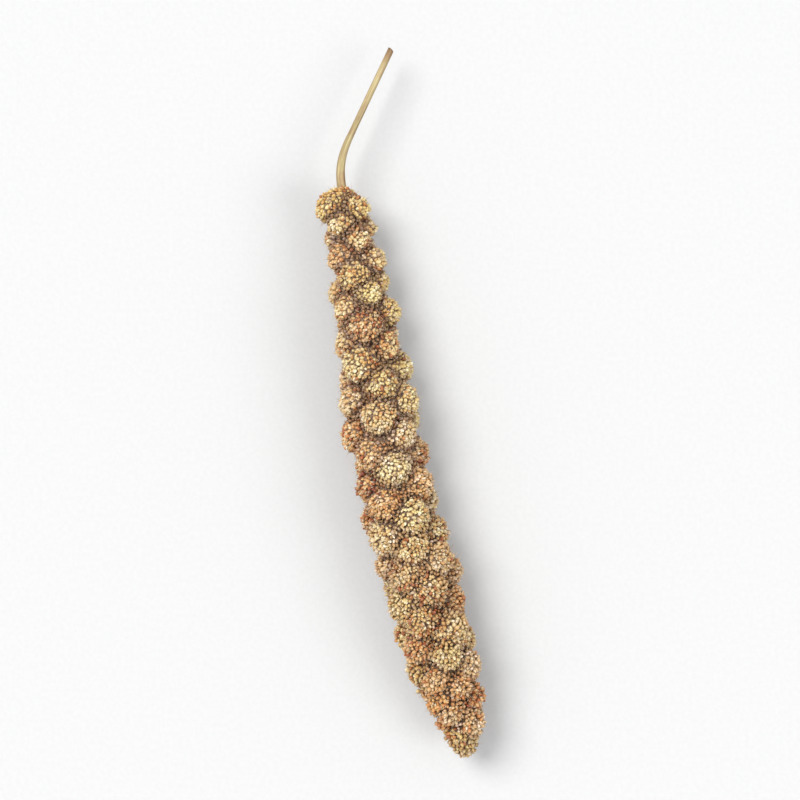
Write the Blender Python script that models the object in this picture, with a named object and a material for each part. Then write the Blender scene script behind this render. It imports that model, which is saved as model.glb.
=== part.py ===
"""A dried red foxtail millet seed head, as cut from the plant with a length of its stalk.

It lies on its side on the plane z = 0, with +Z up. Its length runs along Y: the cut end of
the stalk is towards +Y and the tip of the head towards -Y. The origin is on that plane,
under the middle of the whole.

One axis runs down the middle of stalk and head, and everything is placed by its distance
along that axis, counted from the cut end. Round it the seed lobes stand in a golden-angle
spiral, as the side branches do on the plant, and each lobe is an egg covered with seeds.
The seeds here are larger than life, so that few of them cover the whole head.
"""

import math
import random
from collections import namedtuple

import bmesh
import bpy
from mathutils import Matrix, Vector

# Lengths along the axis, in metres
STALK_LENGTH = 0.050
HEAD_LENGTH = 0.186
AXIS_STEP = 0.001

# Where the cut end is in plan, seen from the origin, and which way the axis runs from there.
# A lean is in degrees from -Y towards +X.
CUT_END = (-0.0028, 0.11325)
STALK_LEAN = -25.0
HEAD_LEAN = 12.5
NECK_BEND = (0.030, 0.052)
SWAY = -4.0
SWAY_LENGTH = 0.180

# Height of the axis over the surface it lies on, and how far its two ends droop
AXIS_HEIGHT = 0.0145
STALK_DROOP = 0.0035
TIP_DROOP = 0.0030
LEVEL_STRETCH = (0.115, 0.175)

# The stalk is round, a little thicker where the head begins, and ends a little way inside it.
STALK_RADIUS = 0.00105
STALK_FLARE = 0.00045
FLARE_START = 0.025
STALK_IN_HEAD = 0.010
STALK_POINT_STEP = 0.0045
SOCKET_GAP = 0.0003
TUBE_BEVEL = 3
WELD = 1e-5
SHARP_ANGLE = math.radians(50.0)

# The head from its axis to the outside of the lobes: it swells from its base and rounds off to
# its tip. The core that the lobes grow from is a share of that radius, less at its own start.
HEAD_RADIUS = 0.0137
BASE_SHARE = 0.70
BASE_SWELL = 0.42
TIP_START = 0.58
TIP_ROUND = 0.44
CORE_SHARE = (0.38, 0.60)
CORE_SWELL = 0.20
CORE_SPAN = (0.015, 0.95)
CORE_STATIONS = 16

# Seed lobes: a pair of numbers holds at the head's base and at its tip. A lobe's half width is a
# share of the head's radius, and crowding is the part of its own square that it gets to itself.
GOLDEN_ANGLE = math.radians(137.508)
LOBE_SEED = 23
FIRST_LOBE = 0.0035
LOBE_SHARE = (0.54, 0.43)
LEAST_HALF_WIDTH = 0.0047
LOBE_STRETCH = (1.35, 1.10)
LOBE_TILT = (22.0, 48.0)
LOBE_CROWDING = 0.52
TIP_LOBE_STRETCH = 1.5
LOOSE_BASE = 0.45
LOOSE_EXTRA = 0.25
SIZE_SPREAD = 0.13
TURN_SPREAD = 12.0
STAND_SPREAD = 0.0010

# Three lobes carry the head. Each place is a distance along the axis and one to the side of it,
# and a lobe's egg reaches this far below the surface, where its lowest seeds are cut flat.
RESTS = ((0.0865, 0.0), (0.1385, -0.0060), (0.1825, 0.0050))
REST_DEPTH = 0.0012
SURFACE_DEPTH = 0.02

# Seeds on a lobe, and how deep the furrows between them are as a share of their pitch
SEED_PITCH = 0.0057
SEED_RELIEF = 0.17
LEAST_SEEDS = 10

# Finishes
STRAW = (0.52, 0.38, 0.17, 1.0)
SEED_BROWN = (0.45, 0.24, 0.10, 1.0)
STALK_ROUGHNESS = 0.55
SEED_ROUGHNESS = 0.45

Lobe = namedtuple("Lobe", "centre direction half_width half_length")


def smooth_step(low, high, value):
    """0 up to low, 1 from high on, and an even S between them."""
    share = min(1.0, max(0.0, (value - low) / (high - low)))
    return share * share * (3.0 - 2.0 * share)


def between(pair, share):
    """The value that lies at this share of the way from a pair's first number to its last."""
    return pair[0] + (pair[1] - pair[0]) * share


def axis_height(along):
    """Level over the stretch that carries the weight, and drooping towards both ends."""
    total = STALK_LENGTH + HEAD_LENGTH
    stalk_side = max(0.0, LEVEL_STRETCH[0] - along) / LEVEL_STRETCH[0]
    tip_side = max(0.0, along - LEVEL_STRETCH[1]) / (total - LEVEL_STRETCH[1])
    return AXIS_HEIGHT - STALK_DROOP * stalk_side**2 - TIP_DROOP * tip_side**2


def trace_axis():
    """Points down the middle of stalk and head, AXIS_STEP apart: the neck bends, the head sways."""
    x, y = CUT_END
    points = []
    steps = round((STALK_LENGTH + HEAD_LENGTH) / AXIS_STEP)
    for step in range(steps + 1):
        along = step * AXIS_STEP
        points.append(Vector((x, y, axis_height(along))))
        bend = smooth_step(*NECK_BEND, along)
        sway = SWAY * math.sin(math.tau * (along - STALK_LENGTH) / SWAY_LENGTH) * bend
        lean = math.radians(between((STALK_LEAN, HEAD_LEAN), bend) + sway)
        x += AXIS_STEP * math.sin(lean)
        y -= AXIS_STEP * math.cos(lean)
    return points


AXIS = trace_axis()


def axis_at(along):
    """The axis's point and its direction towards the tip, at a distance from the cut end."""
    place = max(0.0, along / AXIS_STEP)
    index = min(int(place), len(AXIS) - 2)
    point = AXIS[index].lerp(AXIS[index + 1], place - index)
    return point, (AXIS[index + 1] - AXIS[index]).normalized()


def head_radius(share):
    """From the axis to the outside of the lobes, at a share of the head's length from its base."""
    swell = between((BASE_SHARE, 1.0), smooth_step(0.0, BASE_SWELL, share))
    past = max(0.0, share - TIP_START) / TIP_ROUND
    return HEAD_RADIUS * swell * math.sqrt(1.0 - past * past)


def lobe_sites():
    """The side branches' seed lobes, from the base to the tip."""
    draw = random.Random(LOBE_SEED)
    lobes = []
    along = STALK_LENGTH + FIRST_LOBE
    turn = 0.0
    tip_length = TIP_LOBE_STRETCH * LEAST_HALF_WIDTH
    last = STALK_LENGTH + HEAD_LENGTH - tip_length
    while along < last:
        share = (along - STALK_LENGTH) / HEAD_LENGTH
        half_width = max(LEAST_HALF_WIDTH, between(LOBE_SHARE, share) * head_radius(share))
        half_width *= 1.0 + draw.uniform(-SIZE_SPREAD, SIZE_SPREAD)
        half_length = half_width * between(LOBE_STRETCH, share)
        tilt = math.radians(between(LOBE_TILT, share**2))
        reach = head_radius(share) + draw.uniform(-STAND_SPREAD, STAND_SPREAD)
        stand = max(0.0, reach - math.hypot(half_length * math.cos(tilt), half_width * math.sin(tilt)))
        point, tangent = axis_at(along)
        side = tangent.cross(Vector((0.0, 0.0, 1.0))).normalized()
        up = side.cross(tangent)
        angle = turn + math.radians(draw.uniform(-TURN_SPREAD, TURN_SPREAD))
        outward = side * math.cos(angle) + up * math.sin(angle)
        direction = outward * math.cos(tilt) + tangent * math.sin(tilt)
        lobes.append(Lobe(point + outward * stand, direction.normalized(), half_width, half_length))
        loose = 1.0 + LOOSE_EXTRA * (1.0 - smooth_step(0.0, LOOSE_BASE, share))
        ring = math.tau * max(half_width, reach - half_width)
        along += loose * LOBE_CROWDING * (2.0 * half_width) ** 2 / ring
        turn += GOLDEN_ANGLE
    lobes.append(Lobe(*axis_at(last), LEAST_HALF_WIDTH, tip_length))
    return rest_on_three(lobes)


def lowest_point(lobe):
    """Where a lobe's egg reaches lowest."""
    stretch = lobe.half_length**2 - lobe.half_width**2
    pull = Vector((0.0, 0.0, lobe.half_width**2)) + lobe.direction * (stretch * lobe.direction.z)
    return lobe.centre - pull / math.sqrt(pull.z)


def rest_on_three(lobes):
    """Lowers the lobe nearest to each resting place until it reaches into the surface."""
    for along, aside in RESTS:
        point, tangent = axis_at(along)
        place = Vector((point.x - tangent.y * aside, point.y + tangent.x * aside, 0.0))
        nearest = min(range(len(lobes)), key=lambda k: (lowest_point(lobes[k]) - place).length)
        drop = Vector((0.0, 0.0, lowest_point(lobes[nearest]).z + REST_DEPTH))
        lobes[nearest] = lobes[nearest]._replace(centre=lobes[nearest].centre - drop)
    return lobes


def finish(name, colour, roughness):
    """A plain dull surface of one colour."""
    material = bpy.data.materials.new(name)
    material.use_nodes = True
    shader = material.node_tree.nodes["Principled BSDF"]
    shader.inputs["Base Color"].default_value = colour
    shader.inputs["Roughness"].default_value = roughness
    shader.inputs["Metallic"].default_value = 0.0
    return material


def new_collection(name):
    """A collection in the scene."""
    collection = bpy.data.collections.new(name)
    bpy.context.scene.collection.children.link(collection)
    return collection


def add_object(name, data, collection):
    """An object in a collection."""
    made = bpy.data.objects.new(name, data)
    collection.objects.link(made)
    return made


def axis_tube(name, stations, collection):
    """A closed tube along the axis, as a mesh. Each station is a distance along it and a radius."""
    curve = bpy.data.curves.new(name, "CURVE")
    curve.dimensions = "3D"
    curve.bevel_depth = 1.0
    curve.bevel_resolution = TUBE_BEVEL
    curve.use_fill_caps = True
    spline = curve.splines.new("POLY")
    spline.points.add(len(stations) - 1)
    for spline_point, (along, radius) in zip(spline.points, stations):
        spline_point.co = (*axis_at(along)[0], 1.0)
        spline_point.radius = radius
    guide = add_object(name + "_guide", curve, collection)
    bpy.context.view_layer.update()
    graph = bpy.context.evaluated_depsgraph_get()
    mesh = bpy.data.meshes.new_from_object(guide.evaluated_get(graph))
    bpy.data.objects.remove(guide)
    weld = bmesh.new()
    weld.from_mesh(mesh)
    bmesh.ops.remove_doubles(weld, verts=weld.verts, dist=WELD)
    bmesh.ops.recalc_face_normals(weld, faces=weld.faces)
    weld.to_mesh(mesh)
    weld.free()
    return add_object(name, mesh, collection)


def stalk_radius(along):
    """The stalk's radius at a distance from its cut end."""
    return STALK_RADIUS + STALK_FLARE * smooth_step(FLARE_START, STALK_LENGTH, along)


def stalk_stations(end, extra):
    """Even stations from the cut end to a distance along the axis, with extra added to the radius."""
    count = round(end / STALK_POINT_STEP)
    places = [end * k / count for k in range(count + 1)]
    return [(place, stalk_radius(place) + extra) for place in places]


def make_stalk(collection):
    """The bare stalk, which ends a little way inside the head."""
    stalk = axis_tube("stalk", stalk_stations(STALK_LENGTH + STALK_IN_HEAD, 0.0), collection)
    stalk.data.shade_smooth()
    stalk.data.set_sharp_from_angle(angle=SHARP_ANGLE)
    stalk.data.materials.append(finish("straw", STRAW, STALK_ROUGHNESS))
    return stalk


def make_core(collection):
    """The slim inside of the head that the lobes grow from."""
    stations = []
    for k in range(CORE_STATIONS):
        share = between(CORE_SPAN, k / (CORE_STATIONS - 1))
        radius = head_radius(share) * between(CORE_SHARE, smooth_step(0.0, CORE_SWELL, share))
        stations.append((STALK_LENGTH + HEAD_LENGTH * share, radius))
    return axis_tube("seed_head", stations, collection)


def seeded_egg(lobe):
    """A lobe's mesh: seed tips in a spiral over an egg, each a low pyramid with furrows round it."""
    area = 4.0 * math.pi * lobe.half_width * (lobe.half_width + 2.0 * lobe.half_length) / 3.0
    seeds = max(LEAST_SEEDS, round(area / (SEED_PITCH**2 * math.sqrt(3.0) / 2.0)))
    egg = bmesh.new()
    for k in range(seeds):
        rise = 1.0 - 2.0 * (k + 0.5) / seeds
        ring = math.sqrt(1.0 - rise * rise)
        egg.verts.new((ring * math.cos(k * GOLDEN_ANGLE), ring * math.sin(k * GOLDEN_ANGLE), rise))
    bmesh.ops.convex_hull(egg, input=egg.verts)
    ridges = list(egg.edges)
    furrows = bmesh.ops.poke(egg, faces=egg.faces)["verts"]
    bmesh.ops.rotate_edges(egg, edges=ridges)
    relief = SEED_RELIEF * SEED_PITCH / lobe.half_width
    for vert in furrows:
        vert.co = vert.co.normalized() * (1.0 - relief)
    turn = lobe.direction.to_track_quat("Z", "Y").to_matrix().to_4x4()
    size = Matrix.Diagonal((lobe.half_width, lobe.half_width, lobe.half_length, 1.0))
    egg.transform(Matrix.Translation(lobe.centre) @ turn @ size)
    bmesh.ops.recalc_face_normals(egg, faces=egg.faces)
    if egg.calc_volume(signed=True) < 0.0:
        bmesh.ops.reverse_faces(egg, faces=egg.faces)
    mesh = bpy.data.meshes.new("lobe")
    egg.to_mesh(mesh)
    egg.free()
    return mesh


def keep_largest_body(mesh):
    """Fills what the union sealed in and drops loose scraps: only the outer skin stays."""
    skin = bmesh.new()
    skin.from_mesh(mesh)
    unseen = set(skin.verts)
    bodies = []
    while unseen:
        body = set()
        edge_of_body = [unseen.pop()]
        while edge_of_body:
            vert = edge_of_body.pop()
            body.add(vert)
            linked = {edge.other_vert(vert) for edge in vert.link_edges} & unseen
            unseen -= linked
            edge_of_body.extend(linked)
        bodies.append(body)
    largest = max(bodies, key=len)
    extra = [vert for body in bodies if body is not largest for vert in body]
    bmesh.ops.delete(skin, geom=extra, context="VERTS")
    skin.to_mesh(mesh)
    skin.free()


def join_lobes(core, collection):
    """Fuses every lobe with the core in one union, and removes the loose lobes."""
    lobes = new_collection("lobes")
    for number, lobe in enumerate(lobe_sites()):
        add_object(f"lobe_{number}", seeded_egg(lobe), lobes)
    union = core.modifiers.new("join_lobes", "BOOLEAN")
    union.operation = "UNION"
    union.operand_type = "COLLECTION"
    union.collection = lobes
    bpy.context.view_layer.update()
    graph = bpy.context.evaluated_depsgraph_get()
    fused = bpy.data.meshes.new_from_object(core.evaluated_get(graph))
    keep_largest_body(fused)
    core.modifiers.remove(union)
    core.data = fused
    for piece in list(lobes.objects):
        bpy.data.objects.remove(piece)
    bpy.data.collections.remove(lobes)


def cut(target, cutter, name):
    """Takes the cutter's shape out of the target."""
    cutter.hide_render = True
    cutter.display_type = "WIRE"
    modifier = target.modifiers.new(name, "BOOLEAN")
    modifier.operation = "DIFFERENCE"
    modifier.object = cutter


def surface_cutter(collection):
    """A block whose top is the surface, which flattens the seeds that the head lies on."""
    bpy.ops.mesh.primitive_cube_add(size=1.0, location=(0.0, 0.0, -SURFACE_DEPTH / 2.0))
    block = bpy.context.active_object
    block.name = "surface_cutter"
    block.data.transform(Matrix.Diagonal((HEAD_LENGTH, 2.0 * HEAD_LENGTH, SURFACE_DEPTH, 1.0)))
    for owner in list(block.users_collection):
        owner.objects.unlink(block)
    collection.objects.link(block)
    return block


def make_head(collection, cutters):
    """Core and seeded lobes in one body, with a socket for the stalk and flats to lie on."""
    head = make_core(collection)
    join_lobes(head, collection)
    socket_end = STALK_LENGTH + STALK_IN_HEAD + SOCKET_GAP
    socket = axis_tube("stalk_socket", stalk_stations(socket_end, SOCKET_GAP), cutters)
    cut(head, socket, "stalk_socket")
    cut(head, surface_cutter(cutters), "flats")
    head.data.materials.clear()
    head.data.materials.append(finish("seeds", SEED_BROWN, SEED_ROUGHNESS))
    return head


def main():
    """The whole seed head, in a scene of its own."""
    for leftover in list(bpy.data.objects):
        bpy.data.objects.remove(leftover)
    parts = new_collection("millet_seed_head")
    cutters = new_collection("cutters")
    make_stalk(parts)
    head = make_head(parts, cutters)
    print(len(lobe_sites()), "lobes,", len(head.data.polygons), "faces once they are joined")


main()
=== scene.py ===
# %% [markdown]
# # A dried head of red foxtail millet
#
# A millet head is one straw with about a hundred side branches. Each branch is so short, and
# carries so many seeds, that it looks like a small round lobe, and the lobes crowd into a long
# bumpy spray. The model has the same order: straw, lobes, seeds, husks and bristles.
#
# The measured solids of the straw and the head are loaded first. They are never changed. Finer
# pieces are built in the same place and shown instead of them.

# %% Load the measured model
import math
import random
from collections import namedtuple

import bpy
import numpy as np
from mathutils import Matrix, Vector
from mathutils.kdtree import KDTree


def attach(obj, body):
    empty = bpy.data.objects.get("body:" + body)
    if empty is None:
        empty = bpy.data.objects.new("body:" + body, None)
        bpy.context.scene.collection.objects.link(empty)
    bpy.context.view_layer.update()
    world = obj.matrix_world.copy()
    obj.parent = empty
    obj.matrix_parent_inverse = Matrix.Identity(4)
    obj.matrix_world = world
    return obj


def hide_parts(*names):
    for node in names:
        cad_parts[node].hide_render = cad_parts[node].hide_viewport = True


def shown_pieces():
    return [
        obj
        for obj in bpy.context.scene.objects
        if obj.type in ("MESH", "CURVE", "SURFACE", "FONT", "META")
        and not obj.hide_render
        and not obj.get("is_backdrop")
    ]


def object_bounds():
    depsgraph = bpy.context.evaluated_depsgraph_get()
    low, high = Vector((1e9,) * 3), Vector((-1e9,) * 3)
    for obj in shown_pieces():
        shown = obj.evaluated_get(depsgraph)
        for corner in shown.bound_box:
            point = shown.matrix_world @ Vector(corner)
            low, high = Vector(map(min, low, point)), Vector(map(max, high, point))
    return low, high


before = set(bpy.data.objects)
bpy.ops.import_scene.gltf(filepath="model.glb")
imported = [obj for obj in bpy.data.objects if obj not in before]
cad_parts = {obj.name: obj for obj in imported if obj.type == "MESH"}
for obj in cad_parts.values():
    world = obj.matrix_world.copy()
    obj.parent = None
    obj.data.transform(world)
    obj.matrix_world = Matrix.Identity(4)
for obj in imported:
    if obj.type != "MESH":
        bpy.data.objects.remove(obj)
solid_box = [list(corner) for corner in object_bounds()]
print("The solids:", sorted(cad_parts), "in the box", solid_box)

# %% [markdown]
# ## Paper, camera and light
#
# The head lies on its side on pale paper. The camera hangs straight above it, so that the picture
# shows its full length, and a long lens keeps the near and the far end the same size.
#
# Seeds are small and shiny. One broad soft light from the upper left gives each of them a short
# highlight and a soft shadow, a weaker one from the right opens the shadows, and a pale sky fills
# what is left. Both lights are of the sun type, which is as strong everywhere: a lamp near the
# head would leave the paper grey further off. A wide angle makes their shadows soft. The colours
# are shown as they are, without a film look.

# %% Camera over the paper
LENS = 100.0
SENSOR = 36.0
VIEW_HEIGHT = 0.262


def put_in_scene(name, data):
    """A new object that holds this camera, light or mesh."""
    item = bpy.data.objects.new(name, data)
    bpy.context.scene.collection.objects.link(item)
    return item


lens = bpy.data.cameras.new("camera_above")
lens.lens = LENS
lens.sensor_width = SENSOR
camera = put_in_scene("camera_above", lens)
camera.location = (0.0, 0.0, VIEW_HEIGHT * LENS / SENSOR)
bpy.context.scene.camera = camera
bpy.context.scene.view_settings.view_transform = "Standard"
print("The camera is", round(camera.location.z, 3), "m above the paper")

# %% Soft light
LIGHTS = (
    ("window_light", (-0.55, 0.45, 0.90), 34.0, 3.2),
    ("fill_light", (0.70, -0.25, 0.65), 32.0, 1.4),
)
SKY = (0.95, 0.97, 1.0, 1.0)
SKY_STRENGTH = 0.92


def add_light(name, place, width, power):
    """A broad far light, width degrees wide, that shines from this place to the origin."""
    light = bpy.data.lights.new(name, "SUN")
    light.angle = math.radians(width)
    light.energy = power
    lamp = put_in_scene(name, light)
    lamp.location = place
    lamp.rotation_mode = "QUATERNION"
    lamp.rotation_quaternion = (-Vector(place)).to_track_quat("-Z", "Y")
    return lamp


for light_row in LIGHTS:
    print("Placed", add_light(*light_row).name)
world = bpy.data.worlds.new("pale_sky")
world.use_nodes = True
world.node_tree.nodes["Background"].inputs["Color"].default_value = SKY
world.node_tree.nodes["Background"].inputs["Strength"].default_value = SKY_STRENGTH
bpy.context.scene.world = world

# %% [markdown]
# ## Helpers for every finish
#
# A finish in Blender is a small graph of nodes. Writing each node and each link by hand takes many
# lines, so one helper adds a node and another fills its inputs, with a number or with another
# node's output. A third makes a colour ramp, which turns a number from 0 to 1 into a colour, and a
# fourth multiplies colours: a dark shade times a tan hull is a hull in shade.

# %% Helpers for finishes
WHITE = (1.0, 1.0, 1.0)


def new_finish(name):
    """A new material and its Principled shader."""
    material = bpy.data.materials.new(name)
    material.use_nodes = True
    return material, material.node_tree.nodes["Principled BSDF"]


def fill_inputs(node, inputs):
    """Fills a node's inputs. Each value is a number, a colour, or an output to link to."""
    for name, value in inputs.items():
        if isinstance(value, bpy.types.NodeSocket):
            node.id_data.links.new(value, node.inputs[name])
        else:
            node.inputs[name].default_value = value


def add_node(material, kind, inputs, **settings):
    """Adds a node with these settings and fills its inputs."""
    node = material.node_tree.nodes.new(kind)
    for name, value in settings.items():
        setattr(node, name, value)
    fill_inputs(node, inputs)
    return node


def add_ramp(material, factor, stops):
    """A colour ramp over a number from 0 to 1. Each stop is a place and a colour."""
    ramp = add_node(material, "ShaderNodeValToRGB", {"Fac": factor})
    while len(ramp.color_ramp.elements) < len(stops):
        ramp.color_ramp.elements.new(0.5)
    for element, (place, colour) in zip(ramp.color_ramp.elements, stops):
        element.position = place
        element.color = (*colour, 1.0)
    return ramp.outputs["Color"]


def shaded(material, colour, *shades):
    """A colour times each shade. Inputs 0, 6 and 7 of a colour mix are its factor and colours."""
    settings = {"data_type": "RGBA", "blend_type": "MULTIPLY"}
    for shade in shades:
        inputs = {0: 1.0, 6: colour, 7: shade}
        colour = add_node(material, "ShaderNodeMix", inputs, **settings).outputs[2]
    return colour


def add_noise(material, place, scale, detail=3.0):
    """Cloudy noise round a place. A scale of 1000 makes patches of about a millimetre."""
    inputs = {"Vector": place, "Scale": scale, "Detail": detail}
    return add_node(material, "ShaderNodeTexNoise", inputs).outputs["Fac"]


def add_bump(material, height, distance):
    """Bends the light on the surface, as if it rose and fell by this distance in metres."""
    inputs = {"Height": height, "Distance": distance, "Strength": 1.0}
    return add_node(material, "ShaderNodeBump", inputs).outputs["Normal"]


def object_place(material):
    """Each point's place on the object, in metres."""
    return add_node(material, "ShaderNodeTexCoord", {}).outputs["Object"]


print("Finishes are made with", add_node.__name__, fill_inputs.__name__, "and", add_ramp.__name__)

# %% [markdown]
# ## The paper
#
# A sheet of pale paper isn't one flat colour: its fibres make faint specks. A fine noise texture
# with two nearly equal colours gives that, and stays so quiet that the millet is what one sees.
# The sheet is very wide, so that its edge isn't in the picture from the side either.

# %% Pale paper
PAPER_SIZE = 40.0
PAPER_COLOURS = ((0.35, (0.472, 0.469, 0.463)), (0.65, (0.488, 0.485, 0.479)))
FIBRE_SCALE = 700.0

paper_finish, paper_shader = new_finish("pale_paper")
paper_fibres = add_noise(paper_finish, object_place(paper_finish), FIBRE_SCALE)
paper_colour = add_ramp(paper_finish, paper_fibres, PAPER_COLOURS)
fill_inputs(paper_shader, {"Base Color": paper_colour, "Roughness": 0.85})

half = PAPER_SIZE / 2.0
paper_mesh = bpy.data.meshes.new("paper")
paper_corners = [(-half, -half, 0.0), (half, -half, 0.0), (half, half, 0.0), (-half, half, 0.0)]
paper_mesh.from_pydata(paper_corners, [], [(0, 1, 2, 3)])
paper_mesh.materials.append(paper_finish)
paper = put_in_scene("paper", paper_mesh)
paper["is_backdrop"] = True
print("The paper is", PAPER_SIZE, "m wide")

# %% [markdown]
# ## The line down the middle
#
# Straw and head share one line, like the string of a necklace. It leans to the left, bends at the
# neck and sways a little, and it is traced step by step with a heading, as one would walk it. The
# same numbers made the solids, so every piece that is placed by this line fits them.

# %% Trace the middle line
STALK_LENGTH = 0.050
HEAD_LENGTH = 0.186
AXIS_STEP = 0.001
CUT_END = (-0.0028, 0.11325)
STALK_LEAN = -25.0
HEAD_LEAN = 12.5
NECK_BEND = (0.030, 0.052)
SWAY = -4.0
SWAY_LENGTH = 0.180
AXIS_HEIGHT = 0.0145
STALK_DROOP = 0.0035
TIP_DROOP = 0.0030
LEVEL_STRETCH = (0.115, 0.175)


def smooth_step(low, high, value):
    """0 up to low, 1 from high on, and an even S between them."""
    share = min(1.0, max(0.0, (value - low) / (high - low)))
    return share * share * (3.0 - 2.0 * share)


def between(pair, share):
    """The value that lies at this share of the way from a pair's first number to its last."""
    return pair[0] + (pair[1] - pair[0]) * share


def axis_height(along):
    """Level in the middle, and drooping towards both ends."""
    total = STALK_LENGTH + HEAD_LENGTH
    stalk_side = max(0.0, LEVEL_STRETCH[0] - along) / LEVEL_STRETCH[0]
    tip_side = max(0.0, along - LEVEL_STRETCH[1]) / (total - LEVEL_STRETCH[1])
    return AXIS_HEIGHT - STALK_DROOP * stalk_side**2 - TIP_DROOP * tip_side**2


def trace_axis():
    """Points down the middle, AXIS_STEP apart, from the cut end to the tip."""
    x, y = CUT_END
    points = []
    for step in range(round((STALK_LENGTH + HEAD_LENGTH) / AXIS_STEP) + 1):
        along = step * AXIS_STEP
        points.append(Vector((x, y, axis_height(along))))
        bend = smooth_step(*NECK_BEND, along)
        sway = SWAY * math.sin(math.tau * (along - STALK_LENGTH) / SWAY_LENGTH) * bend
        lean = math.radians(between((STALK_LEAN, HEAD_LEAN), bend) + sway)
        x += AXIS_STEP * math.sin(lean)
        y -= AXIS_STEP * math.cos(lean)
    return points


AXIS = trace_axis()


def axis_at(along):
    """The line's point and its direction towards the tip, at a distance from the cut end."""
    place = max(0.0, along / AXIS_STEP)
    index = min(int(place), len(AXIS) - 2)
    point = AXIS[index].lerp(AXIS[index + 1], place - index)
    return point, (AXIS[index + 1] - AXIS[index]).normalized()


print("The middle line has", len(AXIS), "points, the last", tuple(round(c, 4) for c in AXIS[-1]))

# %% [markdown]
# ## Where the lobes stand
#
# On the plant each side branch leaves the stem about 137.5 degrees round from the last one. This
# golden angle never repeats, so the lobes fill the stem evenly without standing in rows. A lobe is
# described by an egg: its middle, the way it points, and half its width and length. Near the base
# the eggs are large and loose, and towards the tip they are small, tight and lie along the stem.

# %% Place the lobes
HEAD_RADIUS = 0.0137
BASE_SHARE = 0.70
BASE_SWELL = 0.42
TIP_START = 0.58
TIP_ROUND = 0.44
GOLDEN_ANGLE = math.radians(137.508)
LOBE_SEED = 23
FIRST_LOBE = 0.0035
LOBE_SHARE = (0.54, 0.43)
LEAST_HALF_WIDTH = 0.0047
LOBE_STRETCH = (1.35, 1.10)
LOBE_TILT = (22.0, 48.0)
LOBE_CROWDING = 0.52
TIP_LOBE_STRETCH = 1.5
LOOSE_BASE = 0.45
LOOSE_EXTRA = 0.25
SIZE_SPREAD = 0.13
TURN_SPREAD = 12.0
STAND_SPREAD = 0.0010

Lobe = namedtuple("Lobe", "centre direction half_width half_length root")


def head_radius(share):
    """From the middle line to the outside of the lobes, at a share of the head's length."""
    swell = between((BASE_SHARE, 1.0), smooth_step(0.0, BASE_SWELL, share))
    past = max(0.0, share - TIP_START) / TIP_ROUND
    return HEAD_RADIUS * swell * math.sqrt(1.0 - past * past)


def lobe_sites():
    """The lobes from the base to the tip. root is where a lobe's branch leaves the stem."""
    draw = random.Random(LOBE_SEED)
    made = []
    along = STALK_LENGTH + FIRST_LOBE
    turn = 0.0
    tip_length = TIP_LOBE_STRETCH * LEAST_HALF_WIDTH
    last = STALK_LENGTH + HEAD_LENGTH - tip_length
    while along < last:
        share = (along - STALK_LENGTH) / HEAD_LENGTH
        half_width = max(LEAST_HALF_WIDTH, between(LOBE_SHARE, share) * head_radius(share))
        half_width *= 1.0 + draw.uniform(-SIZE_SPREAD, SIZE_SPREAD)
        half_length = half_width * between(LOBE_STRETCH, share)
        tilt = math.radians(between(LOBE_TILT, share**2))
        reach = head_radius(share) + draw.uniform(-STAND_SPREAD, STAND_SPREAD)
        own_reach = math.hypot(half_length * math.cos(tilt), half_width * math.sin(tilt))
        stand = max(0.0, reach - own_reach)
        point, tangent = axis_at(along)
        side = tangent.cross(Vector((0.0, 0.0, 1.0))).normalized()
        up = side.cross(tangent)
        angle = turn + math.radians(draw.uniform(-TURN_SPREAD, TURN_SPREAD))
        outward = side * math.cos(angle) + up * math.sin(angle)
        direction = (outward * math.cos(tilt) + tangent * math.sin(tilt)).normalized()
        root = axis_at(along - half_length * math.sin(tilt))[0]
        made.append(Lobe(point + outward * stand, direction, half_width, half_length, root))
        loose = 1.0 + LOOSE_EXTRA * (1.0 - smooth_step(0.0, LOOSE_BASE, share))
        ring = math.tau * max(half_width, reach - half_width)
        along += loose * LOBE_CROWDING * (2.0 * half_width) ** 2 / ring
        turn += GOLDEN_ANGLE
    tip_root = axis_at(last - tip_length)[0]
    made.append(Lobe(*axis_at(last), LEAST_HALF_WIDTH, tip_length, tip_root))
    return made


lobes = lobe_sites()
print(len(lobes), "lobes from the base to the tip")

# %% [markdown]
# ## Three lobes carry the head
#
# A head that is laid down rests on a few of its lobes, and its own weight presses them flat. The
# three lobes nearest to three spots under the head are let down a little way into the paper. The
# seeds are lifted back onto it later, so that they make the flat patches that the head lies on.

# %% Let three lobes down
RESTS = ((0.0865, 0.0), (0.1385, -0.0060), (0.1825, 0.0050))
REST_DEPTH = 0.0012


def lowest_point(lobe):
    """Where a lobe's egg reaches lowest."""
    stretch = lobe.half_length**2 - lobe.half_width**2
    pull = Vector((0.0, 0.0, lobe.half_width**2)) + lobe.direction * (stretch * lobe.direction.z)
    return lobe.centre - pull / math.sqrt(pull.z)


for rest_along, aside in RESTS:
    rest_point, rest_way = axis_at(rest_along)
    spot = Vector((rest_point.x - rest_way.y * aside, rest_point.y + rest_way.x * aside, 0.0))
    carrier = min(range(len(lobes)), key=lambda k: (lowest_point(lobes[k]) - spot).length)
    drop = Vector((0.0, 0.0, lowest_point(lobes[carrier]).z + REST_DEPTH))
    lobes[carrier] = lobes[carrier]._replace(centre=lobes[carrier].centre - drop)
    print("Lobe", carrier, "moved down by", round(1000.0 * drop.z, 2), "mm")
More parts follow.
